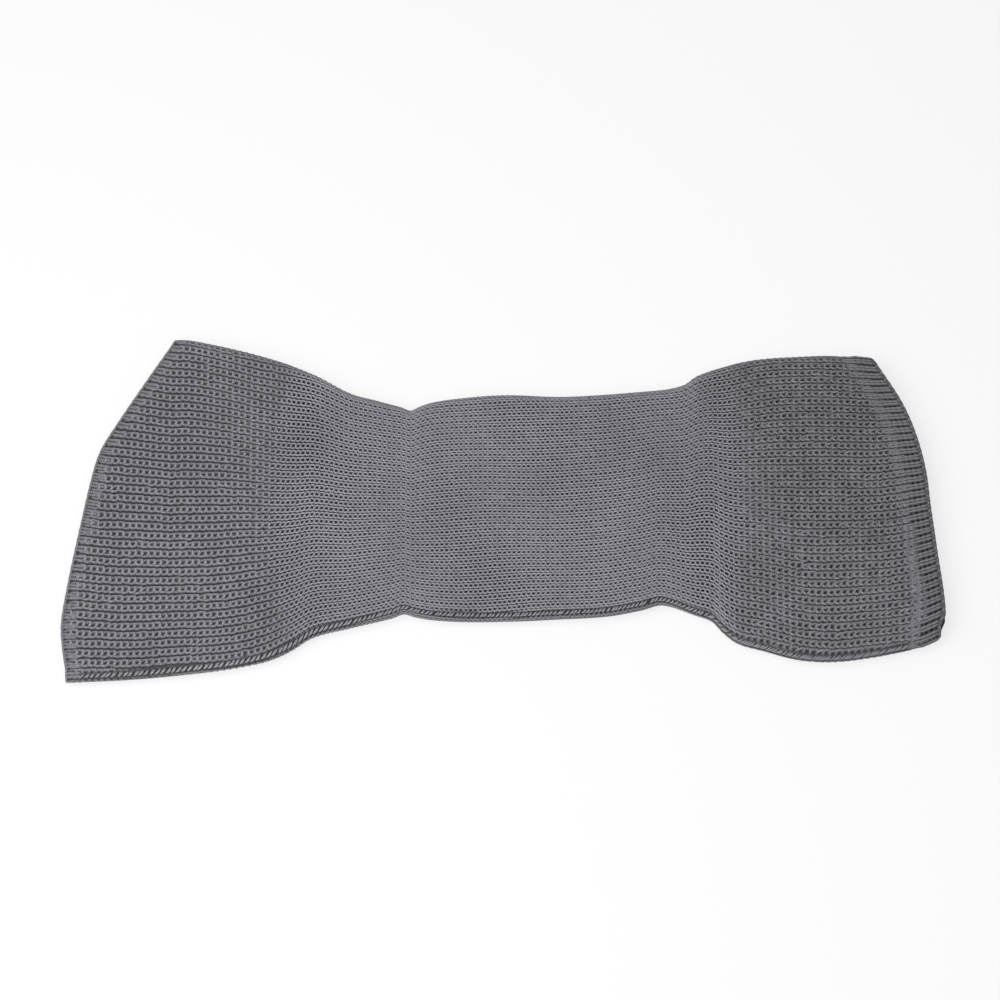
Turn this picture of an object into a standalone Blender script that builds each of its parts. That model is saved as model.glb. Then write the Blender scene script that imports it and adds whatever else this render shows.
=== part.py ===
"""Knitted girth sleeve: a flattened tube of ribbed knit, open at both ends, that slips over a saddle girth.

The frame has +X along the sleeve, +Y across it and +Z up. The origin is under the middle of the waist.
"""

import math

import bmesh
import bpy
from mathutils import Vector

# Sizes, in metres
SLEEVE_LENGTH = 0.500
WIDEST = 0.211
WAIST_WIDTH = 0.138
LOFT = 0.013
WALL = 0.0035
LEFT_HEM = 0.007
RIGHT_HEM = 0.0125
LEFT_CREASE_X = -0.054
RIGHT_CREASE_X = 0.098
FLEX_LENGTH = 0.030
LINK_YARN_RADIUS = 0.0015
LINK_YARN_RISE = math.radians(50)
JOIN_GAP = 0.0003
FOLD_TAB = 0.002
EDGE_SAMPLE = 0.002  # how far each way the slope of an edge is read

# The two long edges, as (place along the half length, flare from the waist to the widest part)
FAR_EDGE = (
    (-0.762, 0.90), (-0.708, 0.93), (-0.564, 0.69), (-0.436, 0.37), (-0.348, 0.03),
    (-0.285, -0.10), (-0.212, -0.26), (-0.160, -0.13), (-0.100, -0.06), (0.000, 0.00),
    (0.148, -0.03), (0.348, 0.08), (0.412, 0.18), (0.444, 0.34), (0.508, 0.50),
    (0.576, 0.61), (0.660, 0.66), (0.748, 0.68), (0.849, 0.61),
)
NEAR_EDGE = (
    (-0.989, 1.10), (-0.828, 1.04), (-0.664, 0.92), (-0.584, 0.83), (-0.528, 0.73),
    (-0.476, 0.56), (-0.428, 0.35), (-0.344, 0.19), (-0.216, -0.03), (-0.100, 0.08),
    (0.000, 0.08), (0.116, 0.04), (0.232, -0.01), (0.308, -0.11), (0.360, -0.20),
    (0.436, -0.02), (0.472, 0.08), (0.498, 0.28), (0.528, 0.44), (0.588, 0.57),
    (0.660, 0.71), (0.732, 0.75), (0.796, 0.71), (0.876, 0.61), (0.936, 0.50), (0.989, 0.33),
)

# The two mouths, as (place across from near to far, set back from the end over the half length)
LEFT_MOUTH = (
    (0.00, 0.011), (0.12, 0.000), (0.24, 0.014), (0.43, 0.043), (0.60, 0.070),
    (0.67, 0.086), (0.74, 0.112), (0.89, 0.178), (1.00, 0.238),
)
RIGHT_MOUTH = (
    (0.00, 0.011), (0.05, 0.000), (0.30, 0.018), (0.45, 0.032), (0.60, 0.045),
    (0.74, 0.066), (0.86, 0.098), (1.00, 0.151),
)

HALF_LENGTH = SLEEVE_LENGTH / 2
OUTER_RADIUS = LOFT / 2
FOLD_RADIUS = (LOFT - WALL) / 2
WAIST_HALF = WAIST_WIDTH / 2 - OUTER_RADIUS
WIDEST_HALF = WIDEST / 2 - OUTER_RADIUS
MID_HEIGHT = LOFT / 2

ALONG_STEPS = 24
ACROSS_STEPS = 10
FOLD_STEPS = 6
HEM_STEPS = 3

LEFT_OUTER = LEFT_CREASE_X - FLEX_LENGTH / 2
LEFT_INNER = LEFT_CREASE_X + FLEX_LENGTH / 2
RIGHT_INNER = RIGHT_CREASE_X - FLEX_LENGTH / 2
RIGHT_OUTER = RIGHT_CREASE_X + FLEX_LENGTH / 2


def smooth(table, at):
    """The value at a place in a table, along a smooth curve through its points."""
    if at <= table[0][0]:
        return table[0][1]
    if at >= table[-1][0]:
        return table[-1][1]
    i = next(k for k in range(len(table) - 1) if at <= table[k + 1][0])
    (x0, y0), (x1, y1) = table[i], table[i + 1]
    before = table[max(i - 1, 0)]
    after = table[min(i + 2, len(table) - 1)]
    slope0 = (y1 - before[1]) / (x1 - before[0])
    slope1 = (after[1] - y0) / (after[0] - x0)
    span = x1 - x0
    t = (at - x0) / span
    return (
        (2 * t**3 - 3 * t**2 + 1) * y0
        + (t**3 - 2 * t**2 + t) * span * slope0
        + (3 * t**2 - 2 * t**3) * y1
        + (t**3 - t**2) * span * slope1
    )


def far_y(x):
    return WAIST_HALF + (WIDEST_HALF - WAIST_HALF) * smooth(FAR_EDGE, x / HALF_LENGTH)


def near_y(x):
    return -WAIST_HALF - (WIDEST_HALF - WAIST_HALF) * smooth(NEAR_EDGE, x / HALF_LENGTH)


def left_mouth_x(across):
    return HALF_LENGTH * (smooth(LEFT_MOUTH, across) - 1)


def right_mouth_x(across):
    return HALF_LENGTH * (1 - smooth(RIGHT_MOUTH, across))


def steps(start, end, count):
    return [start + (end - start) * i / count for i in range(count + 1)]


def edge_point(side, x):
    """A point on the middle line of the far (side 1) or near (side -1) fold, and its outward direction."""
    edge = far_y if side > 0 else near_y
    reach = EDGE_SAMPLE
    run = Vector((2 * reach, edge(x + reach) - edge(x - reach), 0)).normalized()
    return Vector((x, edge(x), MID_HEIGHT)), Vector((-run.y, run.x, 0)) * side


def leaf_edge(side, x):
    """The y where a flat layer stops, clear of the tab of the fold beside it."""
    middle, out = edge_point(side, x)
    return middle.y - side * (FOLD_TAB + 1.5 * JOIN_GAP) / abs(out.y)


knit = bpy.data.materials.new("grey_knit")
hem_knit = bpy.data.materials.new("grey_hem_knit")
link_yarn = bpy.data.materials.new("grey_link_yarn")
for material, shade in ((knit, 0.155), (hem_knit, 0.135), (link_yarn, 0.175)):
    material.use_nodes = True
    shader = material.node_tree.nodes["Principled BSDF"]
    shader.inputs["Base Color"].default_value = (shade, shade * 0.98, shade * 1.08, 1)
    shader.inputs["Roughness"].default_value = 0.95
    material.diffuse_color = (shade, shade * 0.98, shade * 1.08, 1)

for old in list(bpy.data.objects):
    bpy.data.objects.remove(old, do_unlink=True)
sleeve = bpy.data.collections.new("knitted_girth_sleeve")
bpy.context.scene.collection.children.link(sleeve)


def knit_sheet(name, along, across, place, material, ring=False):
    """A sheet of knit: a grid put in place by place(along, across), each from 0 to 1, and given its wall."""
    sheet = bmesh.new()
    bmesh.ops.create_grid(sheet, x_segments=along, y_segments=across, size=0.5)
    for vertex in sheet.verts:
        vertex.co = place(vertex.co.x + 0.5, vertex.co.y + 0.5)
    if ring:
        bmesh.ops.remove_doubles(sheet, verts=sheet.verts, dist=0.00001)
    mesh = bpy.data.meshes.new(name)
    sheet.to_mesh(mesh)
    sheet.free()
    piece = bpy.data.objects.new(name, mesh)
    mesh.materials.append(material)
    sleeve.objects.link(piece)
    wall = piece.modifiers.new("wall", "SOLIDIFY")
    wall.thickness = WALL
    wall.offset = 0
    wall.use_even_offset = True
    return piece


def leaf(name, start, end, layer, material, along=ALONG_STEPS):
    """A flat layer between two ends, each an x for a place across. Layer 1 is the top and -1 the bottom."""
    height = MID_HEIGHT + layer * FOLD_RADIUS

    def place(u, t):
        x = start(t) + (end(t) - start(t)) * u
        low = leaf_edge(-1, x)
        high = leaf_edge(1, x)
        return Vector((x, low + (high - low) * t, height))

    return knit_sheet(name, along, ACROSS_STEPS, place, material)


def edge_fold(name, side, start, end):
    """The half round where the knit turns between the layers along an edge, with a flat tab at each layer."""
    turns = steps(-math.pi / 2, math.pi / 2, FOLD_STEPS)
    course = [(-FOLD_TAB, -FOLD_RADIUS)]
    course += [(FOLD_RADIUS * math.cos(turn), FOLD_RADIUS * math.sin(turn)) for turn in turns]
    course.append((-FOLD_TAB, FOLD_RADIUS))

    def place(u, t):
        middle, out = edge_point(side, start + (end - start) * u)
        reach, rise = course[round(t * (len(course) - 1))]
        return middle + out * reach + Vector((0, 0, rise))

    return knit_sheet(name, ALONG_STEPS, len(course) - 1, place, knit)


def flex_ring(name, start, end):
    """The whole tube across a crease: it bends, so it is one ring."""
    across = steps(0, 1, ACROSS_STEPS // 2)
    turns = steps(-math.pi / 2, math.pi / 2, FOLD_STEPS)
    course = [("layer", -1, t) for t in across]
    course += [("fold", 1, turn) for turn in turns[1:-1]]
    course += [("layer", 1, t) for t in reversed(across)]
    course += [("fold", -1, turn) for turn in reversed(turns[1:-1])]
    course.append(course[0])

    def place(u, t):
        x = start + (end - start) * u
        kind, side, at = course[round(t * (len(course) - 1))]
        if kind == "layer":
            y = near_y(x) + (far_y(x) - near_y(x)) * at
            return Vector((x, y, MID_HEIGHT + side * FOLD_RADIUS))
        middle, out = edge_point(side, x)
        return middle + out * FOLD_RADIUS * math.cos(at) + Vector((0, 0, FOLD_RADIUS * math.sin(at)))

    return knit_sheet(name, 4, len(course) - 1, place, knit, ring=True)


def link_seam(name, start, end, count):
    """The chain of link yarn that closes the tube, lying along the upper side of the near fold."""
    reach = OUTER_RADIUS + JOIN_GAP + LINK_YARN_RADIUS
    curve = bpy.data.curves.new(name, "CURVE")
    curve.dimensions = "3D"
    curve.bevel_depth = LINK_YARN_RADIUS
    curve.bevel_resolution = 1
    curve.use_fill_caps = True
    stations = steps(start, end, count)
    line = curve.splines.new("POLY")
    line.points.add(len(stations) - 1)
    for point, x in zip(line.points, stations):
        middle, out = edge_point(-1, x)
        place = middle + out * (reach * math.cos(LINK_YARN_RISE) + JOIN_GAP)
        place.z += reach * math.sin(LINK_YARN_RISE)
        point.co = (*place, 1)
    piece = bpy.data.objects.new(name, curve)
    curve.materials.append(link_yarn)
    sleeve.objects.link(piece)
    return piece


def at(x):
    return lambda across: x


def left_hem_x(across):
    return left_mouth_x(across) + LEFT_HEM


def right_hem_x(across):
    return right_mouth_x(across) - RIGHT_HEM


def left_leaf_x(across):
    return left_hem_x(across) + JOIN_GAP


def right_leaf_x(across):
    return right_hem_x(across) - JOIN_GAP


# The waist, between the two creases
leaf("waist_top_leaf", at(LEFT_INNER + JOIN_GAP), at(RIGHT_INNER - JOIN_GAP), 1, knit)
leaf("waist_bottom_leaf", at(LEFT_INNER + JOIN_GAP), at(RIGHT_INNER - JOIN_GAP), -1, knit)
edge_fold("waist_far_fold", 1, LEFT_INNER + JOIN_GAP, RIGHT_INNER - JOIN_GAP)
edge_fold("waist_near_fold", -1, LEFT_INNER + JOIN_GAP, RIGHT_INNER - JOIN_GAP)
link_seam("waist_seam", LEFT_INNER + JOIN_GAP, RIGHT_INNER - JOIN_GAP, ALONG_STEPS)

# The parts that bend
flex_ring("left_flex", LEFT_OUTER, LEFT_INNER)
flex_ring("right_flex", RIGHT_INNER, RIGHT_OUTER)
link_seam("left_flex_seam", LEFT_OUTER, LEFT_INNER, 4)
link_seam("right_flex_seam", RIGHT_INNER, RIGHT_OUTER, 4)

# The left wing, with its mouth
leaf("left_top_leaf", left_leaf_x, at(LEFT_OUTER - JOIN_GAP), 1, knit)
leaf("left_bottom_leaf", left_leaf_x, at(LEFT_OUTER - JOIN_GAP), -1, knit)
leaf("left_top_hem", left_mouth_x, left_hem_x, 1, hem_knit, HEM_STEPS)
leaf("left_bottom_hem", left_mouth_x, left_hem_x, -1, hem_knit, HEM_STEPS)
edge_fold("left_far_fold", 1, left_mouth_x(1), LEFT_OUTER - JOIN_GAP)
edge_fold("left_near_fold", -1, left_mouth_x(0), LEFT_OUTER - JOIN_GAP)
link_seam("left_seam", left_mouth_x(0), LEFT_OUTER - JOIN_GAP, ALONG_STEPS)

# The right wing, with its mouth
leaf("right_top_leaf", at(RIGHT_OUTER + JOIN_GAP), right_leaf_x, 1, knit)
leaf("right_bottom_leaf", at(RIGHT_OUTER + JOIN_GAP), right_leaf_x, -1, knit)
leaf("right_top_hem", right_hem_x, right_mouth_x, 1, hem_knit, HEM_STEPS)
leaf("right_bottom_hem", right_hem_x, right_mouth_x, -1, hem_knit, HEM_STEPS)
edge_fold("right_far_fold", 1, RIGHT_OUTER + JOIN_GAP, right_mouth_x(1))
edge_fold("right_near_fold", -1, RIGHT_OUTER + JOIN_GAP, right_mouth_x(0))
link_seam("right_seam", RIGHT_OUTER + JOIN_GAP, right_mouth_x(0), ALONG_STEPS)
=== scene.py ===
import math

import bpy
import numpy as np
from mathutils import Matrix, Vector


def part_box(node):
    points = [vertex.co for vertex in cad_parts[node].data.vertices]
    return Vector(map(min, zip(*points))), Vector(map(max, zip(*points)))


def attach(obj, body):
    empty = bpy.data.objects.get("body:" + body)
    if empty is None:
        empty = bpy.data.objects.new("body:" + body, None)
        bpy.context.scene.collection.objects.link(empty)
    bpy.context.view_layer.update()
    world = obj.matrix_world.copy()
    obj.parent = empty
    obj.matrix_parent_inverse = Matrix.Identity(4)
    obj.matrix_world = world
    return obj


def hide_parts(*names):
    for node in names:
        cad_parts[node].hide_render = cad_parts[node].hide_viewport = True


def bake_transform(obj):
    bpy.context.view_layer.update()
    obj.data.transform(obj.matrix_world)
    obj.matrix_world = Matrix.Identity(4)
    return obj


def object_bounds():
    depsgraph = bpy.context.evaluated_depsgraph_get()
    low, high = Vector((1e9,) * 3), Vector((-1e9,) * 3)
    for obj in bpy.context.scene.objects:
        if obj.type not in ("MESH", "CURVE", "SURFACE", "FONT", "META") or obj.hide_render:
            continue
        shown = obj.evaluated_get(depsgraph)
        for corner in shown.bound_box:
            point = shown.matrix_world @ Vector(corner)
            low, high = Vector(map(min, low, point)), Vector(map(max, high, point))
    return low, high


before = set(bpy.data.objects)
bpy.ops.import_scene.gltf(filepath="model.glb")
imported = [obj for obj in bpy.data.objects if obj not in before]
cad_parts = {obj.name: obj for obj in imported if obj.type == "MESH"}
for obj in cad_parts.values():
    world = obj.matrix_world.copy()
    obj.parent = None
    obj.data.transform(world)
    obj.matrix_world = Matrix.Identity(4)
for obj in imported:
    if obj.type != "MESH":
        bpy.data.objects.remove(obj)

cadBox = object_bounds()
print("frame loaded")

# the sleeve's outline in plan, in metres: the edges and mouths that the solids follow, to about 4 mm
sleeve = {
    "halfLength": 0.25,
    "waistHalf": 0.0625,
    "widestHalf": 0.099,
    "midHeight": 0.0065,
    "foldRadius": 0.00475,
    "loopRadius": 0.00590,  # where the yarn lies on the folds
    "farEdge": (
        (-0.753, 0.955), (-0.708, 0.935), (-0.564, 0.69), (-0.436, 0.37), (-0.348, 0.03),
        (-0.285, -0.10), (-0.232, -0.205), (-0.210, -0.265), (-0.190, -0.20), (-0.160, -0.13),
        (-0.100, -0.06), (0.000, 0.00), (0.148, -0.03), (0.348, 0.08), (0.412, 0.18),
        (0.444, 0.34), (0.508, 0.50), (0.576, 0.61), (0.660, 0.66), (0.748, 0.68), (0.849, 0.61),
    ),
    "nearEdge": (
        (-0.989, 1.10), (-0.828, 1.04), (-0.664, 0.92), (-0.584, 0.83), (-0.528, 0.73),
        (-0.476, 0.56), (-0.428, 0.35), (-0.344, 0.19), (-0.250, 0.02), (-0.224, -0.05),
        (-0.198, 0.00), (-0.160, 0.05), (-0.100, 0.08), (0.000, 0.08), (0.116, 0.04),
        (0.232, -0.01), (0.308, -0.11), (0.360, -0.20), (0.436, -0.02), (0.472, 0.08),
        (0.498, 0.28), (0.528, 0.44), (0.588, 0.57), (0.660, 0.71), (0.732, 0.75),
        (0.796, 0.71), (0.876, 0.61), (0.936, 0.50), (0.989, 0.33),
    ),
    "leftMouth": (
        (0.00, 0.022), (0.12, 0.010), (0.24, 0.021), (0.43, 0.048), (0.60, 0.0745),
        (0.67, 0.091), (0.74, 0.121), (0.89, 0.193), (1.00, 0.247),
    ),
    "rightMouth": (
        (0.00, 0.021), (0.05, 0.010), (0.30, 0.027), (0.45, 0.038), (0.60, 0.048),
        (0.74, 0.069), (0.86, 0.099), (1.00, 0.151),
    ),
    "farOut": 0.0007,  # the yarn lies a little outside the solids' edges
    "nearOut": 0.0004,
    "leftFarSlope": -0.24,  # the far edge runs on in a straight line past its corner, for the wales
    "mouthPast": 0.02,  # each mouth line runs on round the far fold
    "mouthTurn": 0.7,  # and turns this much of its last slope
    "mouthGuess": 0.24,  # where the search for a place on a mouth starts
    "settleRounds": 5,
    "planReach": 0.30,  # the edges are read off at this many places, out to this x
    "planPlaces": 2401,
    "mouthPlaces": 400,
    "mouthSlopeOver": 20,  # places that a mouth's last slope is taken over
}

# how the top layer lies: a low crown, a slow ripple and a dip at each cross crease
drape = {
    "crown": 0.0010,
    "crownHalf": 0.10,
    "ripple": 0.00030,
    "rippleAlong": 61,
    "rippleStart": 0.7,
    "rippleAcross": 38,
    "rippleSkew": 9,
    "dips": ((-0.054, 0.08, 0.0009, 0.012), (0.098, 0.06, 0.0007, 0.013)),  # x, skew, depth, width
    "risesFrom": 0.004,  # the wave fades out down the folds, between these heights
    "risesTo": 0.011,
}

# the knit: one yarn ring per course, each ring a row of loops, one loop per wale
knit = {
    "endX": 0.2560,
    "waistSplit": 0.0220,  # the waist is made as two pieces, to keep each one light
    "wales": 80,
    "samples": 9,  # points along the yarn in one loop
    "sides": 5,
    "leftPitch": 0.00357,
    "waistPitch": 0.00272,
    "rightPitch": 0.00362,
    "leftChange": -0.121,  # where the loose rib gives way to the tight one
    "rightChange": 0.129,
    "changeBow": 0.012,
    "changeHalf": 0.08,
    "rightBowShare": 0.4,
    "changeSoftness": 0.007,
    "pitchReadY": 0.04,
    "seamRise": math.radians(50),
    "foldSwell": 0.50,  # the loops close up where the knit turns over
    "bunch": ((-0.250, 0.005), (-0.120, 0.003), (0.0, 0.0), (0.100, 0.004), (0.160, 0.017), (0.250, 0.017)),
    "valleyPhase": 0.30,  # where in a course the knit dips
    "foldFlat": 0.75,  # loops lie flat where the knit is stretched round a fold
    "mouthFlat": 0.40,  # and towards the left mouth, over this distance from it
    "mouthFlatFrom": 0.001,
    "mouthFlatTo": 0.006,
    "seamGroove": 0.0013,  # the knit is drawn down under the link seam
    "seamGrooveWidth": 1.15,  # in widths of the seam
    "flatness": 0.9,  # the yarn's section is a little flattened
    "tip": 0.05,  # a cut yarn closes to this share of its radius
    "bakeBand": (0.04, 0.92),  # each row keeps a margin in its band of the map
    "rounding": 0.01,
    "wanderAcross": 0.08,  # how far loops stray, in wales, in courses and in metres
    "wanderAlong": 0.15,
    "wanderHeight": 0.00008,
    "crestRoom": 1.5,  # the highest loops stray up by this many times their spread; this sets the top of the scale for the painted shade
    "wanderWaist": 0.55,  # the tight rib strays less, by this share
    "wanderHem": 0.02,
    "driftSlow": (0.35, 31, 17, 1.3),  # wales don't run quite straight
    "driftFast": (0.10, 97),
    "seed": 11,
}
waistStitch = {
    "lean": 0.17,  # how a loop's path swings, in wales and courses
    "reach": 0.82,
    "skew": 0.25,
    "pinch": -0.045,
    "relief": 0.00050,  # how high its legs stand, and how deep the groove between wales is
    "groove": 0.00070,
    "yarn": 0.00050,
    "head": 0.60,  # the yarn is fuller where a loop lies on top
    "late": 0.60,  # how far past its middle a leg stands highest
    "valley": 0.00007,  # the knit dips between courses
    "shadeDepthScale": 1.0,  # scales the depth that sets the painted shade; below 1 the stitch is painted darker
}
leftStitch = {
    "lean": 0.17,
    "reach": 0.82,
    "skew": 0.25,
    "pinch": -0.010,
    "relief": 0.00072,
    "groove": 0.00102,
    "yarn": 0.00078,
    "head": 0.48,
    "late": 1.00,
    "valley": 0.00028,
    "shadeDepthScale": 0.90,
}
rightStitch = {
    "lean": 0.23,
    "reach": 0.84,
    "skew": 0.40,
    "pinch": -0.004,
    "relief": 0.00068,
    "groove": 0.00084,
    "yarn": 0.00075,
    "head": 0.48,
    "late": 1.00,
    "valley": 0.00022,
    "shadeDepthScale": 0.925,
}
wales, samples = knit["wales"], knit["samples"]

# a wing's rings are cut along the folds and the middle of the top layer, from wale to wale
strips = {"under": (39.5, 78.5), "near": (78.5, 99.5), "far": (19.5, 39.5)}
wholeRing = {"": (0, wales)}


def smoothLine(points, ats):
    px, py = np.array(points, float).T
    slope = np.empty_like(py)
    slope[1:-1] = (py[2:] - py[:-2]) / (px[2:] - px[:-2])
    slope[0] = (py[1] - py[0]) / (px[1] - px[0])
    slope[-1] = (py[-1] - py[-2]) / (px[-1] - px[-2])
    at = np.clip(ats, px[0], px[-1])
    i = np.clip(np.searchsorted(px, at) - 1, 0, len(px) - 2)
    span = px[i + 1] - px[i]
    t = (at - px[i]) / span
    return (
        (2 * t**3 - 3 * t**2 + 1) * py[i]
        + (t**3 - 2 * t**2 + t) * span * slope[i]
        + (3 * t**2 - 2 * t**3) * py[i + 1]
        + (t**3 - t**2) * span * slope[i + 1]
    )


def edgeLine(points, ats):
    flare = smoothLine(points, ats / sleeve["halfLength"])
    return sleeve["waistHalf"] + (sleeve["widestHalf"] - sleeve["waistHalf"]) * flare


planX = np.linspace(-sleeve["planReach"], sleeve["planReach"], sleeve["planPlaces"])
farLine = edgeLine(sleeve["farEdge"], planX) + sleeve["farOut"]
nearLine = -edgeLine(sleeve["nearEdge"], planX) - sleeve["nearOut"]
cornerX = sleeve["farEdge"][0][0] * sleeve["halfLength"]
cornerY = np.interp(cornerX, planX, farLine)
pastCorner = planX < cornerX
farLine[pastCorner] = cornerY + sleeve["leftFarSlope"] * (planX[pastCorner] - cornerX)


def farY(x):
    return np.interp(x, planX, farLine)


def nearY(x):
    return np.interp(x, planX, nearLine)


def mouthLine(points, side):
    across = np.linspace(0, 1, sleeve["mouthPlaces"])
    x = side * sleeve["halfLength"] * (1 - smoothLine(points, across))
    low = nearY(x[0])
    high = farY(x[-1])
    y = low + (high - low) * across
    back = -sleeve["mouthSlopeOver"]
    step = sleeve["mouthTurn"] * (x[-1] - x[back]) / (y[-1] - y[back])
    x = np.append(x, x[-1] + sleeve["mouthPast"] * step)
    y = np.append(y, y[-1] + sleeve["mouthPast"])
    return y, x


mouthLines = {"left": mouthLine(sleeve["leftMouth"], -1), "right": mouthLine(sleeve["rightMouth"], 1)}
outwards = {"left": -1, "right": 1}


def mouthX(which, y):
    return np.interp(y, *mouthLines[which])


def easeStep(value, low, high):
    t = np.clip((value - low) / (high - low), 0, 1)
    return t * t * (3 - 2 * t)


def layerWave(x, y):
    crown = drape["crown"] * np.cos(np.clip(y / drape["crownHalf"], -1, 1) * math.pi / 2)
    ripple = drape["ripple"] * np.sin(x * drape["rippleAlong"] + drape["rippleStart"])
    wave = crown + ripple * np.cos(y * drape["rippleAcross"] + x * drape["rippleSkew"])
    for middle, skew, depth, width in drape["dips"]:
        wave = wave - depth * np.exp(-(((x - middle + skew * y) / width) ** 2))
    return wave


bunching = np.array(knit["bunch"]).T


def aroundAt(x):
    return 2 * (farY(x) - nearY(x)) + 2 * math.pi * sleeve["loopRadius"]


def sleevePoint(x, wale, height):
    # a place on the tube, by its x, its wale number and its height over the middle of the wall
    r, loop, mid, rise = sleeve["foldRadius"], sleeve["loopRadius"], sleeve["midHeight"], knit["seamRise"]
    low, high = nearY(x), farY(x)
    wide = high - low
    share = np.mod(wale, wales) / wales
    s = (share + np.interp(x, *bunching) * np.sin(2 * math.pi * share)) * aroundAt(x)
    topStart = loop * (math.pi / 2 - rise)
    farStart = topStart + wide
    bottomStart = farStart + math.pi * loop
    nearStart = bottomStart + wide
    nearUpper = rise + s / loop
    farTurn = math.pi / 2 - (s - farStart) / loop
    nearLower = -math.pi / 2 + (s - nearStart) / loop
    out = r + height
    cases = [s < topStart, s < farStart, s < bottomStart, s < nearStart]
    y = np.select(
        cases,
        [
            low - out * np.cos(nearUpper),
            low + s - topStart,
            high + out * np.cos(farTurn),
            high - (s - bottomStart),
        ],
        low - out * np.cos(nearLower),
    )
    z = np.select(
        cases,
        [mid + out * np.sin(nearUpper), mid + out, mid + out * np.sin(farTurn), mid - out],
        mid + out * np.sin(nearLower),
    )
    ny = np.select(cases, [-np.cos(nearUpper), 0 * s, np.cos(farTurn), 0 * s], -np.cos(nearLower))
    nz = np.select(cases, [np.sin(nearUpper), 0 * s + 1, np.sin(farTurn), 0 * s - 1], np.sin(nearLower))
    z = z + layerWave(x, y) * easeStep(z, drape["risesFrom"], drape["risesTo"])
    points = np.stack([x + 0 * s, y, z], -1)
    normals = np.stack([0 * s, ny, nz], -1)
    return points, normals


def looseness(x, y):
    bow = knit["changeBow"] * (1 - (y / knit["changeHalf"]) ** 2)
    soft = knit["changeSoftness"]
    leftAt, rightAt = knit["leftChange"] - bow, knit["rightChange"] + bow * knit["rightBowShare"]
    return 1 - easeStep(x, leftAt - soft, leftAt + soft), easeStep(x, rightAt - soft, rightAt + soft)


def courseStations():
    xs = [-knit["endX"]]
    while xs[-1] < knit["endX"]:
        x = xs[-1]
        loose = sum(looseness(x, knit["pitchReadY"]))
        end = knit["leftPitch"] if x < 0 else knit["rightPitch"]
        xs.append(x + knit["waistPitch"] + (end - knit["waistPitch"]) * loose)
    return np.array(xs)


courseX = courseStations()
courseCount = len(courseX)
print("courses", courseCount, "wales", wales)


def courseAt(x):
    return int(np.searchsorted(courseX, x))


def mixStitch(key, loose):
    left, right = loose
    return leftStitch[key] * left + rightStitch[key] * right + waistStitch[key] * (1 - left - right)


def addMesh(name, points, quads, uvSets, depth=None):
    mesh = bpy.data.meshes.new(name)
    mesh.vertices.add(len(points))
    mesh.vertices.foreach_set("co", np.ascontiguousarray(points, np.float32).ravel())
    mesh.loops.add(quads.size)
    mesh.loops.foreach_set("vertex_index", np.ascontiguousarray(quads, np.int32).ravel())
    mesh.polygons.add(len(quads))
    mesh.polygons.foreach_set("loop_start", np.arange(0, quads.size, 4, dtype=np.int32))
    mesh.update(calc_edges=True)
    mesh.validate()
    for uvName, uv in uvSets.items():
        layer = mesh.uv_layers.new(name=uvName)
        layer.data.foreach_set("uv", np.ascontiguousarray(uv, np.float32).ravel())
    # depth carries each point's place in its stitch, which the yarn material turns into painted shade
    if depth is not None:
        attribute = mesh.attributes.new("depth", "FLOAT", "POINT")
        attribute.data.foreach_set("value", np.ascontiguousarray(depth, np.float32))
    mesh.polygons.foreach_set("use_smooth", np.ones(len(quads), bool))
    piece = bpy.data.objects.new(name, mesh)
    bpy.context.scene.collection.objects.link(piece)
    return piece


def cornerUv(u0, u1, v0, v1):
    corners = [np.stack(pair, -1) for pair in ((u0, v0), (u1, v0), (u1, v1), (u0, v1))]
    return np.stack(corners, -2)


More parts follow.
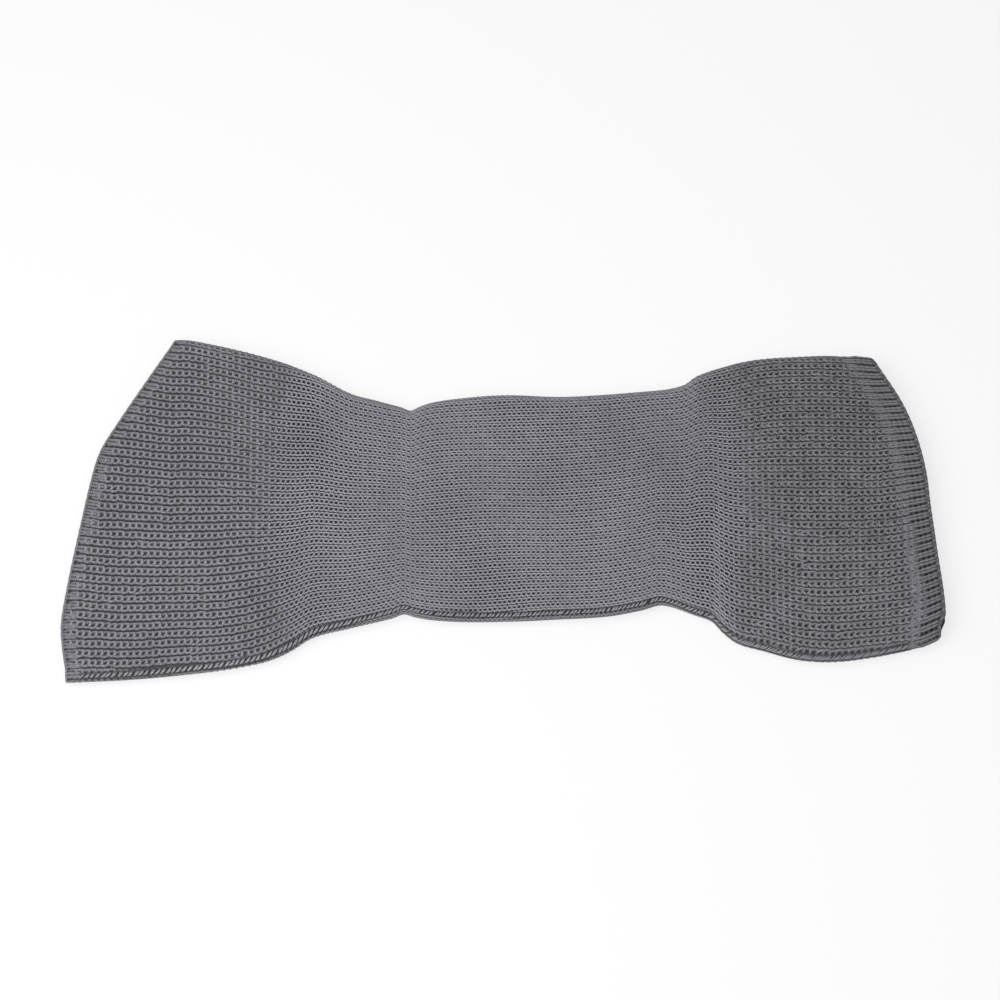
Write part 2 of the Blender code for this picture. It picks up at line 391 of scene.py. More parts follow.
def yarnTubes(name, rings, strip=None):
    # rings: rows of yarn as (row, sample) arrays
    # strip: the wales that this piece takes, or None for open strands
    centres, normals, radius, height = (rings[key] for key in ("centres", "normals", "radius", "height"))
    rows, count = height.shape
    sides, closed = knit["sides"], strip is not None
    if closed:
        tangent = np.roll(centres, -1, 1) - np.roll(centres, 1, 1)
        ahead = np.roll(centres, -1, 1)
        cut = rings["keep"] != np.roll(rings["keep"], 1, 1)
        radius = np.where(cut, radius * knit["tip"], radius)
    else:
        tangent = np.gradient(centres, axis=1)
        ahead = np.concatenate([centres[:, 1:], centres[:, -1:]], 1)
    tangent /= np.linalg.norm(tangent, axis=2, keepdims=True)
    up = normals - tangent * (normals * tangent).sum(2, keepdims=True)
    up /= np.linalg.norm(up, axis=2, keepdims=True)
    sideways = np.cross(tangent, up)
    turn = 2 * math.pi * np.arange(sides) / sides
    rise = np.sin(turn) * knit["flatness"]
    ring = sideways[:, :, None] * np.cos(turn)[:, None] + up[:, :, None] * rise[:, None]
    points = (centres[:, :, None] + ring * radius[:, :, None, None]).reshape(-1, 3)
    # depth: each point's height against its row's crest, read by the yarn material to paint shade where the
    # yarn lies deep; the rings' depth scale, below 1, paints more shade
    crest = rings.get("crest", height.max(1, keepdims=True)) + knit["flatness"] * radius
    depth = (height[:, :, None] + radius[:, :, None] * rise) / crest[:, :, None]
    depth = (depth * np.broadcast_to(rings["shadeDepthScale"], height.shape)[:, :, None]).ravel()

    spans = count if closed else count - 1
    first, last = strip if closed else (0, spans / samples)
    # wales from the strip's start
    order = np.mod((np.arange(spans) + 0.5) / samples - first, count / samples)
    place = np.floor(order * samples + knit["rounding"])
    drawn = rings["keep"][:, :spans] & (order < last - first)
    row, i, k = np.meshgrid(np.arange(rows), np.arange(spans), np.arange(sides), indexing="ij")
    row, i, k = (each[drawn].ravel() for each in (row, i, k))

    def at(sample, side):
        return (row * count + sample % count) * sides + side % sides

    quads = np.stack([at(i, k), at(i + 1, k), at(i + 1, k + 1), at(i, k + 1)], -1)
    length = np.cumsum(np.linalg.norm(ahead - centres, axis=2), 1)
    length = np.concatenate([np.zeros((rows, 1)), length], 1)
    yarnUv = cornerUv(length[row, i], length[row, i + 1], k / sides, (k + 1) / sides)
    long = round((last - first) * samples)
    low, high = knit["bakeBand"]
    bakeUv = cornerUv(
        place[i] / long,
        (place[i] + 1) / long,
        (row + low + high * k / sides) / rows,
        (row + low + high * (k + 1) / sides) / rows,
    )
    used, index = np.unique(quads, return_inverse=True)
    uvSets = {"OFBake": bakeUv, "yarnUv": yarnUv}
    return addMesh(name, points[used], index.reshape(quads.shape), uvSets, depth[used])


# link seam: slanted strands in pairs over the near fold, each setting by its place along the sleeve
seam = {
    "pitch": (
        (-0.250, 0.0031), (-0.110, 0.0029), (-0.060, 0.0023),
        (0.085, 0.0023), (0.125, 0.0018), (0.250, 0.0018),
    ),
    "halfWidth": (
        (-0.250, 0.0022), (-0.110, 0.0021), (-0.070, 0.0015),
        (0.085, 0.0015), (0.125, 0.0025), (0.250, 0.0025),
    ),
    "slant": (
        (-0.250, 0.0016), (-0.110, 0.0016), (-0.070, 0.0014),
        (0.085, 0.0014), (0.125, 0.0024), (0.250, 0.0024),
    ),
    "arch": (
        (-0.250, 0.0001), (-0.215, 0.0006), (-0.195, 0.0013),
        (0.085, 0.0012), (0.125, 0.0007), (0.250, 0.0007),
    ),
    "yarn": ((-0.250, 0.00046), (-0.110, 0.00046), (-0.060, 0.00036), (0.250, 0.00036)),
    # half of the gap between the two strands of a pair
    "pair": ((-0.250, 0.00036), (-0.110, 0.00036), (-0.060, 0.00026), (0.250, 0.00026)),
    "drop": (  # how far it turns down from its line
        (-0.250, 0.0016), (-0.120, 0.0013), (-0.060, 0.0002),
        (0.080, 0.0007), (0.135, 0.0030), (0.250, 0.0030),
    ),
    "base": -0.0002,
    "stray": 0.00024,
    "uneven": 0.18,
    "points": 8,
    "tipFrom": 0.99,  # a strand closes past this share of its half length
    "lastGap": 0.0012,
    "leftInset": 0.003,
    "rightInset": 0.006,
}


def seamAt(key, x):
    return np.interp(x, *np.array(seam[key]).T)


# the hems: finer loops turned in at each mouth, and the cast-off yarn along the lip
hem = {
    # tuck: from, to and depth
    "left": {"wide": 0.0024, "inside": 0.0090, "tuck": (0.0003, 0.0022, 0.0011), "edge": 0.00090},
    "right": {"wide": 0.0125, "inside": 0.0090, "tuck": (0.0105, 0.0135, 0.0008), "edge": 0.00120},
    "pitch": 0.0030,
    "turnRadius": 0.0009,
    "stitch": {"lean": 0.10, "reach": 1.15, "relief": 0.00050, "pinch": 0.08, "yarn": 0.00086},
    "overlap": 0.0018,
    "under": 0.0040,  # its last loops lie under the body of the knit
    "leftEnd": 0.0007,  # the body's rows stop this far from the left mouth
    "edgeSwell": 0.06,
    "edgeOut": 0.0002,
}

ringSamples = wales * samples
loopTurn = 2 * math.pi * (np.arange(ringSamples) % samples) / samples
loopWale = np.arange(ringSamples) // samples
dice = np.random.default_rng(knit["seed"])


def loopWander(rows, size):
    # a small drift for each loop, fading to nothing where loops join
    each = dice.normal(0, size, (rows, wales))
    return np.repeat(each, samples, 1) * np.sin(loopTurn / 2) ** 2


def waleDrift(x, wale):
    turn = 2 * math.pi * wale / wales
    slow, first, second, start = knit["driftSlow"]
    fast, third = knit["driftFast"]
    drift = slow * np.sin(first * x + turn) * np.sin(second * x + turn + start)
    return drift + fast * np.sin(third * x + 2 * turn)


def knitRings(first, last):
    rows = np.arange(first, last)
    course = np.repeat(rows[:, None], ringSamples, 1).astype(float)
    wale = np.repeat(loopWale[None], len(rows), 0).astype(float)
    t = np.repeat(loopTurn[None], len(rows), 0)
    flatX = np.interp(course, np.arange(courseCount), courseX)
    place, _ = sleevePoint(flatX, wale + 0.5, 0 * flatX)
    loose = looseness(flatX, place[..., 1])
    acrossWale = wale + t / (2 * math.pi) + mixStitch("lean", loose) * np.sin(2 * t)
    acrossWale -= mixStitch("pinch", loose) * np.sin(t)
    stray = knit["wanderWaist"] + (1 - knit["wanderWaist"]) * sum(loose)
    acrossWale += stray * loopWander(len(rows), knit["wanderAcross"]) + waleDrift(flatX, acrossWale)
    swing = np.cos(t - mixStitch("skew", loose) * np.cos(t / 2) ** 2)
    alongCourse = course + mixStitch("reach", loose) * swing
    alongCourse += stray * loopWander(len(rows), knit["wanderAlong"])
    x = np.interp(alongCourse, np.arange(courseCount), courseX)
    crown = np.cos(2 * t - mixStitch("late", loose) * np.sin(t))
    # the height shapes the yarn and also sets its painted shade: low yarn in grooves, valleys and under the
    # seam is painted darker
    height = mixStitch("groove", loose) * np.cos(t) - mixStitch("relief", loose) * crown
    height -= mixStitch("valley", loose) * np.cos(math.pi * (alongCourse - knit["valleyPhase"])) ** 2
    crest = height.max(1, keepdims=True) + knit["crestRoom"] * stray * knit["wanderHeight"]
    height += stray * loopWander(len(rows), knit["wanderHeight"])
    place, normals = sleevePoint(x, acrossWale, height)
    middle = place.reshape(len(rows), wales, samples, 3).mean(2)
    keep = middle[..., 0] > mouthX("left", middle[..., 1]) + hem["left"]["wide"] - hem["overlap"]
    keep &= middle[..., 0] < mouthX("right", middle[..., 1]) - hem["right"]["wide"] + hem["overlap"]
    x = np.maximum(x, mouthX("left", place[..., 1]) + hem["leftEnd"])
    height *= 1 - knit["foldFlat"] * (1 - np.abs(normals[..., 2]))
    fromMouth = x - mouthX("left", place[..., 1])
    height *= 1 - knit["mouthFlat"] * (1 - easeStep(fromMouth, knit["mouthFlatFrom"], knit["mouthFlatTo"]))
    beside = np.mod(acrossWale + 0.5 * wales, wales) - 0.5 * wales  # wales away from the link seam
    away = beside * aroundAt(x) / wales + seamAt("drop", x)
    height -= knit["seamGroove"] * np.exp(-((away / (knit["seamGrooveWidth"] * seamAt("halfWidth", x))) ** 4))
    centres, normals = sleevePoint(x, acrossWale, height)
    spread = 1 + 2 * math.pi * np.interp(flatX, *bunching) * np.cos(2 * math.pi * wale / wales)
    radius = mixStitch("yarn", loose) * (1 + knit["foldSwell"] * (1 - np.abs(normals[..., 2]))) * spread
    radius = radius * (1 + mixStitch("head", loose) * np.cos(t / 2) ** 2)
    return {
        "centres": centres, "normals": normals, "radius": radius, "height": height,
        "keep": np.repeat(keep, samples, 1), "shadeDepthScale": mixStitch("shadeDepthScale", loose), "crest": crest,
    }


def mouthPlace(which, acrossWale, inset):
    # the x of places set in from a mouth, by their wales
    x = 0 * inset + outwards[which] * sleeve["mouthGuess"]
    for settle in range(sleeve["settleRounds"]):
        place, _ = sleevePoint(x, acrossWale, 0 * x)
        x = mouthX(which, place[..., 1]) - outwards[which] * inset
    return x


def hemRings(which):
    edge, stitch, r = hem[which], hem["stitch"], hem["turnRadius"]
    rows = int((edge["wide"] + hem["under"] + edge["inside"]) / hem["pitch"]) + 1
    row = np.repeat(np.arange(rows)[:, None], ringSamples, 1)
    wale = np.repeat(loopWale[None], rows, 0).astype(float)
    t = np.repeat(loopTurn[None], rows, 0)
    acrossWale = wale + t / (2 * math.pi) + stitch["lean"] * np.sin(2 * t) - stitch["pinch"] * np.sin(t)
    acrossWale += loopWander(rows, knit["wanderHem"])
    arc = (row + stitch["reach"] * np.cos(t)) * hem["pitch"] - edge["inside"]
    turn = np.clip(arc / r, -math.pi / 2, math.pi / 2)
    tuckFrom, tuckTo, tuckDepth = edge["tuck"]
    relief = -stitch["relief"] * np.cos(2 * t)
    height = relief - tuckDepth * easeStep(arc, tuckFrom, tuckTo)
    setIn = r - (r + height) * np.cos(turn) + np.maximum(np.abs(arc) - math.pi * r / 2, 0)
    x = mouthPlace(which, acrossWale, setIn)
    centres, normals = sleevePoint(x, acrossWale, (r + height) * np.sin(turn))
    normals = normals * np.sin(turn)[..., None]
    normals[..., 0] += outwards[which] * np.cos(turn)
    radius = np.full(arc.shape, stitch["yarn"])

    edgeWale = (np.arange(ringSamples) / samples)[None]
    edgeHeight = 0 * edgeWale
    edgeX = mouthPlace(which, edgeWale, edgeHeight - hem["edgeOut"])
    edgeCentres, edgeNormals = sleevePoint(edgeX, edgeWale, edgeHeight)
    edgeRadius = edge["edge"] * (1 + hem["edgeSwell"] * np.cos(loopTurn)[None])
    return {
        "centres": np.concatenate([centres, edgeCentres]),
        "normals": np.concatenate([normals, edgeNormals]),
        "radius": np.concatenate([radius, edgeRadius]),
        "height": np.concatenate([relief, edgeHeight]),  # for shade: loops tucked under aren't darkened
        "keep": np.ones((rows + 1, ringSamples), bool),
        "shadeDepthScale": 1.0,
    }


# where the sleeve bends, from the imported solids
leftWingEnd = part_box("left_top_leaf")[1][0]
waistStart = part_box("waist_top_leaf")[0][0]
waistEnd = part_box("waist_top_leaf")[1][0]
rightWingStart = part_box("right_top_leaf")[0][0]

# the corners of each mouth's top layer; archMouth works out a corner and a reach inwards from it, but only
# bakes the piece's transform. near, far: the x of that fold's corner and of a place further in; reach: how
# far in from the corner
mouthArch = {
    "left": {"near": (-0.247, -0.119), "far": (-0.1905, -0.087), "reach": 0.075},
    "right": {"near": (0.247, 0.122), "far": (0.212, 0.127), "reach": 0.070},
}


def archMouth(piece, which, strip):
    edgeX = np.array(mouthArch[which][strip])
    edgeY = nearY(edgeX) - sleeve["midHeight"] if strip == "near" else farY(edgeX) + sleeve["midHeight"]
    corner = np.array([edgeX[0], edgeY[0], 0])
    inward = np.array([edgeY[0] - edgeY[1], edgeX[1] - edgeX[0], 0])
    inward *= -np.sign(inward[1] * corner[1]) * mouthArch[which]["reach"] / np.linalg.norm(inward)
    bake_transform(piece)


def carry(piece, where, strip):
    if where == "waist":
        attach(piece, "waist")
    elif where == "left_crease":
        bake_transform(piece)
    elif where == "right_crease":
        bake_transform(piece)
    elif strip == "under":
        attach(piece, where + "_wing")
    else:
        archMouth(piece, where, strip)


def addNode(tree, kind, feeds=(), **settings):
    # feeds: an input and its value, or the socket that it is linked from
    node = tree.nodes.new("ShaderNode" + kind)
    for key, value in settings.items():
        setattr(node, key, value)
    for key, value in feeds:
        if isinstance(value, bpy.types.NodeSocket):
            tree.links.new(value, node.inputs[key])
        else:
            node.inputs[key].default_value = value
    return node


def multiplyColour(tree, colour, factor, amount=1.0):
    feeds = (("Factor", amount), ("A", colour), ("B", factor))
    return addNode(tree, "Mix", feeds, data_type="RGBA", blend_type="MULTIPLY").outputs["Result"]


greyTint = (1.0, 0.98, 1.09)


def tinted(shade, tint=greyTint):
    return (shade * tint[0], shade * tint[1], shade * tint[2], 1)


# plied yarn: two strands twisted together, loose fibres, slow blotches, painted shade and highlight along the
# twist, and painted shade in the depth of the stitch
yarnLook = {
    "blotchScale": 24,
    "blotchAmount": 0.35,
    "fibreScale": 2600,
    "fibreDetail": 3,
    "twistsPerMetre": 420,
    "strands": 2,
    "twistAmount": 0.22,
    "fibreRange": (0.15, 0.85),
    "shadeRange": (0.52, 1.42),
    "depthRange": (0.25, 1.05),
    "bumpStrength": 0.5,
    "bumpDistance": 0.0004,
    "specular": 0.15,
    "roughness": 0.95,
    "sheen": 0.25,
    "sheenRoughness": 0.6,
}
yarnShades = {  # shade of the yarn's colour, and the share of it left in the gaps, where the yarn lying deep in the stitch is painted darker as shade
    "grey_yarn": (0.515, 0.12),
    "grey_hem_yarn": (0.305, 0.20),
    "grey_link_yarn": (0.38, 0.35),
}


def pliedYarnGroup():
    tree = bpy.data.node_groups.new("plied_yarn", "ShaderNodeTree")
    tree.interface.new_socket("Colour", in_out="INPUT", socket_type="NodeSocketColor")
    tree.interface.new_socket("Gap Shade", in_out="INPUT", socket_type="NodeSocketFloat")
    tree.interface.new_socket("Colour", in_out="OUTPUT", socket_type="NodeSocketColor")
    tree.interface.new_socket("Height", in_out="OUTPUT", socket_type="NodeSocketFloat")
    given = tree.nodes.new("NodeGroupInput").outputs
    place = addNode(tree, "TexCoord").outputs["Object"]
    blotch = addNode(tree, "TexNoise", (("Vector", place), ("Scale", yarnLook["blotchScale"])))
    fibre = addNode(
        tree,
        "TexNoise",
        (("Vector", place), ("Scale", yarnLook["fibreScale"]), ("Detail", yarnLook["fibreDetail"])),
    )
    uv = addNode(tree, "UVMap", uv_map="yarnUv").outputs["UV"]
    along, around = addNode(tree, "SeparateXYZ", (("Vector", uv),)).outputs[:2]
    feeds = ((0, along), (1, yarnLook["twistsPerMetre"]), (2, around))
    run = addNode(tree, "Math", feeds, operation="MULTIPLY_ADD")
    turn = addNode(
        tree, "Math", ((0, run.outputs[0]), (1, 2 * math.pi * yarnLook["strands"])), operation="MULTIPLY"
    )
    twist = addNode(tree, "Math", ((0, turn.outputs[0]),), operation="SINE")
    height = addNode(
        tree,
        "Math",
        ((0, twist.outputs[0]), (1, yarnLook["twistAmount"]), (2, fibre.outputs["Fac"])),
        operation="MULTIPLY_ADD",
    ).outputs[0]
    # the twist and fibre height also sets the colour: lower is darker, painted shade in the grooves between
    # the strands, and higher is lighter, painted highlight on their crests, with the fibres' own uneven tone
    shade = addNode(
        tree,
        "MapRange",
        (
            ("Value", height),
            ("From Min", yarnLook["fibreRange"][0]),
            ("From Max", yarnLook["fibreRange"][1]),
            ("To Min", yarnLook["shadeRange"][0]),
            ("To Max", yarnLook["shadeRange"][1]),
        ),
    )
    # painted shade: where a point lies low in its stitch the colour darkens down to Gap Shade, standing in
    # for the shade in the stitch's recesses
    depth = addNode(tree, "Attribute", attribute_name="depth").outputs["Fac"]
    sunk = addNode(
        tree,
        "MapRange",
        (
            ("Value", depth),
            ("From Min", yarnLook["depthRange"][0]),
            ("From Max", yarnLook["depthRange"][1]),
            ("To Min", given["Gap Shade"]),
            ("To Max", 1.0),
        ),
        interpolation_type="SMOOTHSTEP",
    )
    colour = multiplyColour(tree, given["Colour"], shade.outputs["Result"])
    colour = multiplyColour(tree, colour, blotch.outputs["Fac"], yarnLook["blotchAmount"])
    colour = multiplyColour(tree, colour, sunk.outputs["Result"])
    made = tree.nodes.new("NodeGroupOutput")
    tree.links.new(colour, made.inputs["Colour"])
    tree.links.new(height, made.inputs["Height"])
    return tree


pliedYarn = pliedYarnGroup()


def softMaterial(name, specular):
    material = bpy.data.materials.new(name)
    material.use_nodes = True
    shader = material.node_tree.nodes["Principled BSDF"]
    shader.inputs["Roughness"].default_value = yarnLook["roughness"]
    shader.inputs["Specular IOR Level"].default_value = specular
    return material, material.node_tree, shader


def yarnMaterial(name, shade, gapShade):
    material, tree, shader = softMaterial(name, yarnLook["specular"])
    shader.inputs["Sheen Weight"].default_value = yarnLook["sheen"]
    shader.inputs["Sheen Roughness"].default_value = yarnLook["sheenRoughness"]
    yarn = addNode(tree, "Group", node_tree=pliedYarn)
    yarn.inputs["Colour"].default_value = tinted(shade)
    yarn.inputs["Gap Shade"].default_value = gapShade
    bump = addNode(
        tree,
        "Bump",
        (
            ("Strength", yarnLook["bumpStrength"]),
            ("Distance", yarnLook["bumpDistance"]),
            ("Height", yarn.outputs["Height"]),
        ),
    )
    tree.links.new(yarn.outputs["Colour"], shader.inputs["Base Color"])
    tree.links.new(bump.outputs["Normal"], shader.inputs["Normal"])
    return material


greyYarn, hemYarn, linkYarn = (yarnMaterial(name, *shades) for name, shades in yarnShades.items())

# the back of the knit, seen through the loops, coloured near black as painted shade in the holes, with a blue
# tint for that shade, and painted lighter where the rib is open
liningLook = {
    "specular": 0.1,
    "tint": (0.96, 0.92, 1.25),
    "stops": ((-0.135, 0.13), (-0.110, 0.05), (0.125, 0.05), (0.150, 0.09)),  # x, and the shade painted in the holes there
}


def liningMaterial(name):
    material, tree, shader = softMaterial(name, liningLook["specular"])
    place = addNode(tree, "TexCoord").outputs["Object"]
    split = addNode(tree, "SeparateXYZ", (("Vector", place),))
    along = addNode(
        tree,
        "MapRange",
        (
            ("Value", split.outputs["X"]),
            ("From Min", -sleeve["halfLength"]),
            ("From Max", sleeve["halfLength"]),
        ),
    )
    ramp = addNode(tree, "ValToRGB", (("Fac", along.outputs["Result"]),))
    shades = ramp.color_ramp.elements
    shades.remove(shades[1])
    for i, (x, shade) in enumerate(liningLook["stops"]):
        at = 0.5 + 0.5 * x / sleeve["halfLength"]
        stop = shades[0] if i == 0 else shades.new(at)
        stop.position = at
        stop.color = tinted(shade, liningLook["tint"])
    tree.links.new(ramp.outputs["Color"], shader.inputs["Base Color"])
    return material


paintedShadeLining = liningMaterial("lining_painted_shade")

# the purl side, towards the passage: rows of small arched bumps, by place along the sleeve and across it
purlLook = {
    "bump": (0.0036, 0.0050, 0.0050),
    "uneven": 0.25,
    "shade": 0.40,
    "hollowShade": 0.10,
    "range": (0.10, 0.75),
    "bumpStrength": 0.8,
    "bumpDistance": 0.0012,
    "specular": 0.15,
}


def purlMaterial(name):
    material, tree, shader = softMaterial(name, purlLook["specular"])
    place = addNode(tree, "TexCoord").outputs["Object"]
    perMetre = [1 / size for size in purlLook["bump"]]
    stretch = addNode(tree, "Mapping", (("Vector", place), ("Scale", perMetre)))
    feeds = (("Vector", stretch.outputs["Vector"]), ("Scale", 1.0), ("Randomness", purlLook["uneven"]))
    bumps = addNode(tree, "TexVoronoi", feeds).outputs["Distance"]
    ramp = addNode(tree, "ValToRGB", (("Fac", bumps),))
    low, high = ramp.color_ramp.elements
    low.position, high.position = purlLook["range"]
    low.color = tinted(purlLook["shade"])
    high.color = tinted(purlLook["hollowShade"])
    bump = addNode(
        tree,
        "Bump",
        (
            ("Strength", purlLook["bumpStrength"]),
            ("Distance", purlLook["bumpDistance"]),
            ("Height", bumps),
        ),
        invert=True,
    )
    tree.links.new(ramp.outputs["Color"], shader.inputs["Base Color"])
    tree.links.new(bump.outputs["Normal"], shader.inputs["Normal"])
    return material


purlYarn = purlMaterial("grey_purl_side")
print("materials ready")

yarnOn = {}


def dress(piece, material, where, strip, nodes=()):
    piece.data.materials.append(material)
    carry(piece, where, strip)
    if nodes:
        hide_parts(*nodes)
    yarnOn.setdefault((where, strip), []).append(piece)
    print(piece.name, len(piece.data.polygons) * 2, "triangles")


for name, where, start, end, cuts in (
    ("left", "left", -knit["endX"], leftWingEnd, strips),
    ("left_crease", "left_crease", leftWingEnd, waistStart, wholeRing),
    ("waist_left", "waist", waistStart, knit["waistSplit"], wholeRing),
    ("waist_right", "waist", knit["waistSplit"], waistEnd, wholeRing),
    ("right_crease", "right_crease", waistEnd, rightWingStart, wholeRing),
    ("right", "right", rightWingStart, knit["endX"], strips),
):
    rings = knitRings(courseAt(start), courseAt(end))
    for strip, cut in cuts.items():
        title = "_".join(filter(None, (name, strip, "knit")))
        dress(yarnTubes(title, rings, cut), greyYarn, where, strip)

for which in ("left", "right"):
    rings = hemRings(which)
    for strip, cut in strips.items():
        node = which + ("_bottom_hem" if strip == "under" else "_top_hem")
        dress(yarnTubes(f"{which}_{strip}_hem_knit", rings, cut), hemYarn, which, strip, (node,))
print("knit ready")


def seamStrands(start, end):
    middle = [start + 0.5 * seamAt("pitch", start)]
    while middle[-1] < end - seam["lastGap"]:
        middle.append(middle[-1] + seamAt("pitch", middle[-1]))
    middle = np.array(middle[:-1])
    middle = middle + dice.normal(0, seam["stray"], middle.shape)
    middle = np.concatenate([middle - seamAt("pair", middle), middle + seamAt("pair", middle)])
    t = np.linspace(-1, 1, seam["points"])[None]
    slant = seamAt("slant", middle) * (1 + dice.normal(0, seam["uneven"], middle.shape))
    x = middle[:, None] + t * slant[:, None]
    wale = (t * seamAt("halfWidth", x) - seamAt("drop", x)) * wales / aroundAt(x)
    height = seam["base"] + seamAt("arch", x) * np.cos(math.pi * t / 2)
    centres, normals = sleevePoint(x, wale, height)
    radius = seamAt("yarn", x) * np.where(np.abs(t) > seam["tipFrom"], knit["tip"], 1.0)
    return {
        "centres": centres, "normals": normals, "radius": radius, "height": height,
        "keep": np.ones(x.shape, bool), "shadeDepthScale": 1.0,
    }


for node, where, strip, start, end in (
    ("left_seam", "left", "near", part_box("left_seam")[0][0] + seam["leftInset"], leftWingEnd),
    ("left_flex_seam", "left_crease", "", leftWingEnd, waistStart),
    ("waist_seam", "waist", "", waistStart, waistEnd),
    ("right_flex_seam", "right_crease", "", waistEnd, rightWingStart),
    ("right_seam", "right", "near", rightWingStart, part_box("right_seam")[1][0] - seam["rightInset"]),
):
    strands = yarnTubes(node + "_stitches", seamStrands(start, end))
    dress(strands, linkYarn, where, strip, (node,))
print("seam ready")

# lining: the back of the knit, a thin wall inside the yarn that closes the gaps between the loops; its dark
# outer face is painted shade
lining = {
    "height": -0.0012,
    "thickness": 0.0008,
    "stepsPerWale": 2,
    "alongStep": 0.004,
    "mouthGap": 0.004,
}


def liningSheet(name, where, start, end, cut):
    closed = cut[1] - cut[0] == wales
    acrossSteps = round((cut[1] - cut[0]) * lining["stepsPerWale"])
    alongSteps = int((end - start) / lining["alongStep"])
    u = np.linspace(0, 1, alongSteps + 1)[:, None]
    wale = np.linspace(*cut, acrossSteps + 1)[None]
    first, last = start + 0 * wale, end + 0 * wale
    x = first + (last - first) * u
    for settle in range(sleeve["settleRounds"]):
        y = sleevePoint(x, wale, 0 * x)[0][..., 1]
        if where == "left":
            first = np.maximum(start, mouthX("left", y) + lining["mouthGap"])
        if where == "right":
            last = np.minimum(end, mouthX("right", y) - lining["mouthGap"])
        x = first + (last - first) * u
    centres, _ = sleevePoint(x, wale, 0 * x + lining["height"])
    acrossLength = np.linalg.norm(np.diff(centres, axis=1), axis=2).sum(1).max()
    alongLength = np.linalg.norm(np.diff(centres, axis=0), axis=2).sum(0).max()
    if closed:
        centres = centres[:, :-1]
    count = centres.shape[1]
    row, k = np.meshgrid(np.arange(alongSteps), np.arange(acrossSteps), indexing="ij")
    row, k = row.ravel(), k.ravel()
    nextK = (k + 1) % count
    here, beyond = row * count, (row + 1) * count
    quads = np.stack([here + k, beyond + k, beyond + nextK, here + nextK], -1)
    u0, v0 = row / alongSteps, k / acrossSteps
    uv = cornerUv(u0, u0 + 1 / alongSteps, v0, v0 + 1 / acrossSteps)
    piece = addMesh(name, centres.reshape(-1, 3), quads, {"yarnUv": uv})
    area = sum(face.area for face in piece.data.polygons)
    piece.data.materials.append(paintedShadeLining)
    piece.data.materials.append(purlYarn)
    bpy.ops.object.select_all(action="DESELECT")
    bpy.context.view_layer.objects.active = piece
    piece.select_set(True)
    wall = piece.modifiers.new("thickness", "SOLIDIFY")
    wall.thickness = lining["thickness"]
    wall.offset = -1
    wall.material_offset = 1
    wall.material_offset_rim = 1
    bpy.ops.object.modifier_apply(modifier=wall.name)
    return piece, acrossLength, alongLength, min(area, acrossLength * alongLength)


waistNodes = {"": ("waist_top_leaf", "waist_bottom_leaf", "waist_far_fold", "waist_near_fold")}
wingNodes = {"under": ("bottom_leaf",), "near": ("top_leaf", "near_fold"), "far": ("top_leaf", "far_fold")}
leftNodes = {strip: ["left_" + node for node in nodes] for strip, nodes in wingNodes.items()}
rightNodes = {strip: ["right_" + node for node in nodes] for strip, nodes in wingNodes.items()}
for where, start, end, cuts, nodes in (
    ("left", -knit["endX"], leftWingEnd, strips, leftNodes),
    ("left_crease", leftWingEnd, waistStart, wholeRing, {"": ("left_flex",)}),
    ("waist", waistStart, waistEnd, wholeRing, waistNodes),
    ("right_crease", waistEnd, rightWingStart, wholeRing, {"": ("right_flex",)}),
    ("right", rightWingStart, knit["endX"], strips, rightNodes),
):
    for strip, cut in cuts.items():
        title = "_".join(filter(None, (where, strip, "lining")))
        piece, wide, long, area = liningSheet(title, where, start, end, cut)
        carry(piece, where, strip)
        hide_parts(*nodes[strip])
        print(title, round(wide, 3), "by", round(long, 3), "metres flat")
print("lining ready")

# floor, light and camera
studio = {
    "floorSize": 6.0,
    "floorGap": 0.0003,
    "floorShade": 0.90,
    "floorRoughness": 0.9,
    "floorGlow": 0.76,
    "worldStrength": 0.33,
    "keySize": 1.1,
    "keyPower": 11.5,
    "keyPlace": (-0.42, -0.30, 0.85),
    "keyTurn": (math.radians(16), math.radians(-20), 0),
    "cameraElevation": math.radians(65),
    "cameraDistance": 5.0,
    "cameraReach": 50,
    "frameWidth": 0.566,
    "aim": (-0.0017, 0.00375, 0.0065),
    "sensor": 36.0,
}


def seenDirectly(tree):
    # 1 for what the camera sees, straight on, mirrored or through glass, and 0 for the light on the object
    path = addNode(tree, "LightPath").outputs
    seen = path["Is Camera Ray"]
    for other in ("Is Glossy Ray", "Is Transmission Ray"):
        seen = addNode(tree, "Math", ((0, seen), (1, path[other])), operation="MAXIMUM").outputs["Value"]
    return seen


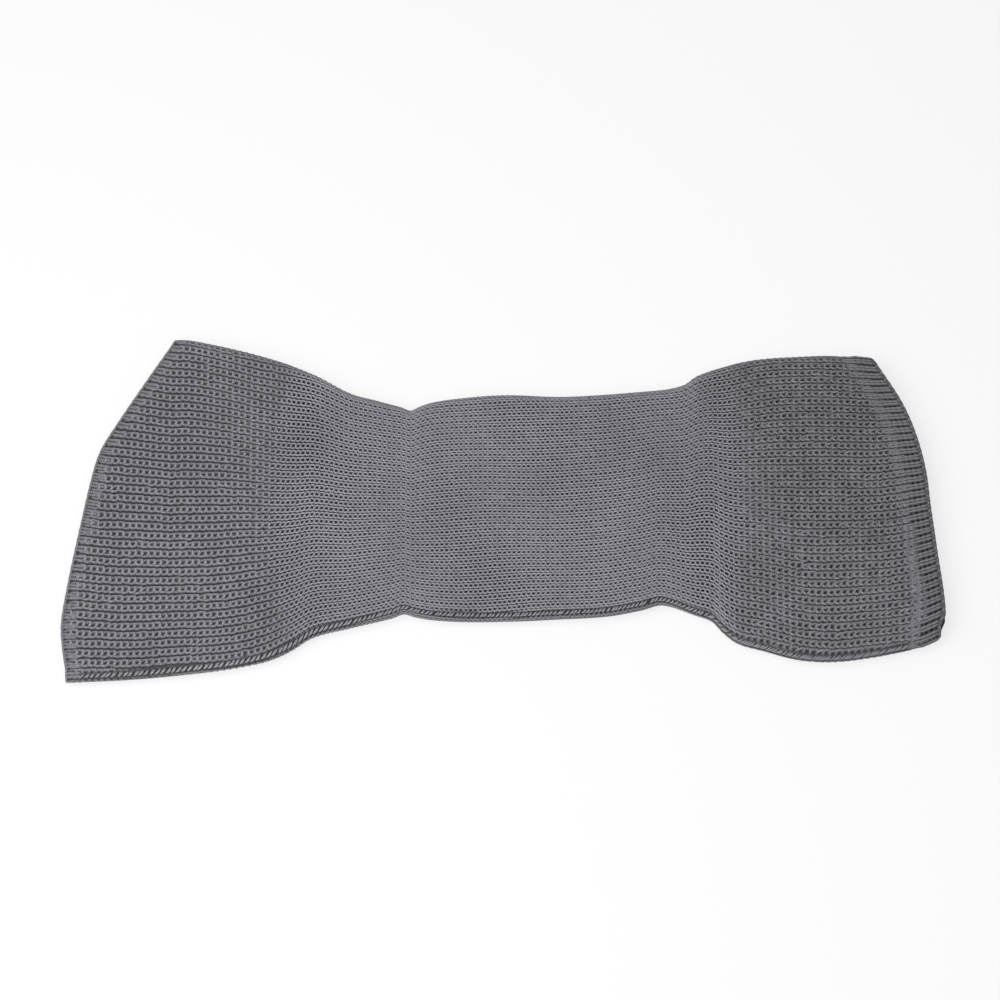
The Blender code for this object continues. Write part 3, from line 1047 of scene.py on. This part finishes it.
bpy.ops.object.select_all(action="DESELECT")
floorPlace = (0, 0, cadBox[0][2] - studio["floorGap"])
bpy.ops.mesh.primitive_plane_add(size=studio["floorSize"], location=floorPlace)
floor = bpy.context.object
floor.name = "floor"
floorPaint = bpy.data.materials.new("pale_floor")
floorPaint.use_nodes = True
floorTree = floorPaint.node_tree
paint = floorTree.nodes["Principled BSDF"]
paint.inputs["Roughness"].default_value = studio["floorRoughness"]
paint.inputs["Base Color"].default_value = (studio["floorShade"],) * 3 + (1,)
glow = addNode(floorTree, "Emission")
share = addNode(
    floorTree, "Math", ((0, seenDirectly(floorTree)), (1, studio["floorGlow"])), operation="MULTIPLY"
)
lift = addNode(
    floorTree,
    "MixShader",
    (("Fac", share.outputs["Value"]), (1, paint.outputs["BSDF"]), (2, glow.outputs["Emission"])),
)
floorTree.links.new(lift.outputs["Shader"], floorTree.nodes["Material Output"].inputs["Surface"])
floor.data.materials.append(floorPaint)

world = bpy.data.worlds.new("soft_studio")
bpy.context.scene.world = world
world.use_nodes = True
skyTree = world.node_tree
background = skyTree.nodes["Background"]
background.inputs["Color"].default_value = (1, 1, 1, 1)
strength = addNode(
    skyTree,
    "MapRange",
    (("Value", seenDirectly(skyTree)), ("To Min", studio["worldStrength"]), ("To Max", 1.0)),
)
skyTree.links.new(strength.outputs["Result"], background.inputs["Strength"])

key = bpy.data.lights.new("overhead_softbox", "AREA")
key.size = studio["keySize"]
key.energy = studio["keyPower"]
keyLamp = bpy.data.objects.new("overhead_softbox", key)
keyLamp.location = studio["keyPlace"]
keyLamp.rotation_euler = studio["keyTurn"]
bpy.context.scene.collection.objects.link(keyLamp)

view = bpy.data.cameras.new("photo_view")
view.sensor_width = studio["sensor"]
view.lens = studio["sensor"] * studio["cameraDistance"] / studio["frameWidth"]
view.clip_end = studio["cameraReach"]
camera = bpy.data.objects.new("photo_view", view)
elevation = studio["cameraElevation"]
camera.location = (
    studio["aim"][0],
    studio["aim"][1] - studio["cameraDistance"] * math.cos(elevation),
    studio["aim"][2] + studio["cameraDistance"] * math.sin(elevation),
)
camera.rotation_euler = (math.pi / 2 - elevation, 0, 0)
bpy.context.scene.collection.objects.link(camera)
bpy.context.scene.camera = camera
bpy.context.scene.view_settings.view_transform = "Standard"
print("studio ready")
